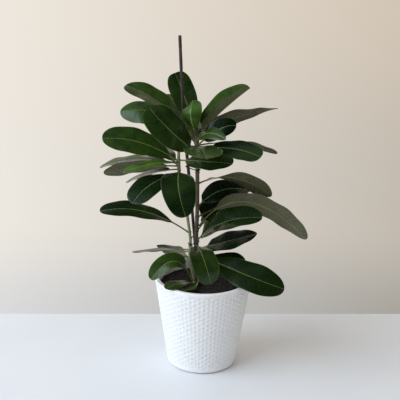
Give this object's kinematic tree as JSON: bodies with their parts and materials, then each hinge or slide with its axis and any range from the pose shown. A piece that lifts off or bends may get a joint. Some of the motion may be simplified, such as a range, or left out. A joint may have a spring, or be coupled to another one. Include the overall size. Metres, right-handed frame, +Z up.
{
  "type": "potted fig house plant",
  "caption": "Leafy fig house plant with leathery dark leaves on slim stems tied to a thin stake, in a white tapered pot with dimpled walls.",
  "frame": {"origin": "middle of the pot's flat underside, on the surface that the plant stands on", "axes": "+Z up along the pot's axis, -Y toward the viewer of the front, +X to that viewer's right"},
  "size_m": [0.3377, 0.2324, 0.5422],
  "materials": {
    "pot": "satin white with staggered small round dimples",
    "soil": "rough dark potting soil with bark chips",
    "stake": "dark stained cane with a faint sheen",
    "tall_stem": "grey-brown bark",
    "short_stem": "pale grey-green bark",
    "tie": "matte black",
    "leaf": "glossy dark green above, dull grey-olive below",
    "young_leaf": "glossy fresh green"
  },
  "bodies": {
    "root": {"pot": "pot", "soil": "soil", "stake": "stake", "stem_tall": "tall_stem", "stem_short": "short_stem", "tie_upper": "tie", "tie_lower": "tie", "leaf_t01": "leaf", "leaf_t02": "young_leaf", "leaf_t03": "young_leaf", "leaf_t04": "leaf", "leaf_t05": "leaf", "leaf_t06": "leaf", "leaf_t07": "leaf", "leaf_t08": "young_leaf", "leaf_t09": "leaf", "leaf_t10": "leaf", "leaf_t11": "leaf", "leaf_t12": "leaf", "leaf_t13": "leaf", "leaf_t14": "leaf", "leaf_t15": "leaf", "leaf_t16": "leaf", "leaf_t17": "leaf", "leaf_t18": "leaf", "leaf_t19": "leaf", "leaf_t20": "leaf", "leaf_t21": "leaf", "leaf_t22": "leaf", "leaf_t23": "leaf", "leaf_t24": "leaf", "leaf_t25": "leaf", "leaf_t26": "leaf", "leaf_t27": "young_leaf", "leaf_s01": "leaf", "leaf_s02": "leaf", "leaf_s03": "young_leaf", "leaf_s04": "leaf", "leaf_s05": "leaf", "leaf_s06": "leaf", "leaf_s07": "leaf", "leaf_s08": "leaf", "leaf_s09": "leaf", "leaf_s10": "leaf", "leaf_s11": "leaf", "leaf_s12": "leaf", "leaf_s13": "leaf", "leaf_s14": "leaf", "leaf_s15": "leaf", "leaf_s16": "leaf"}
  },
  "joints": []
}
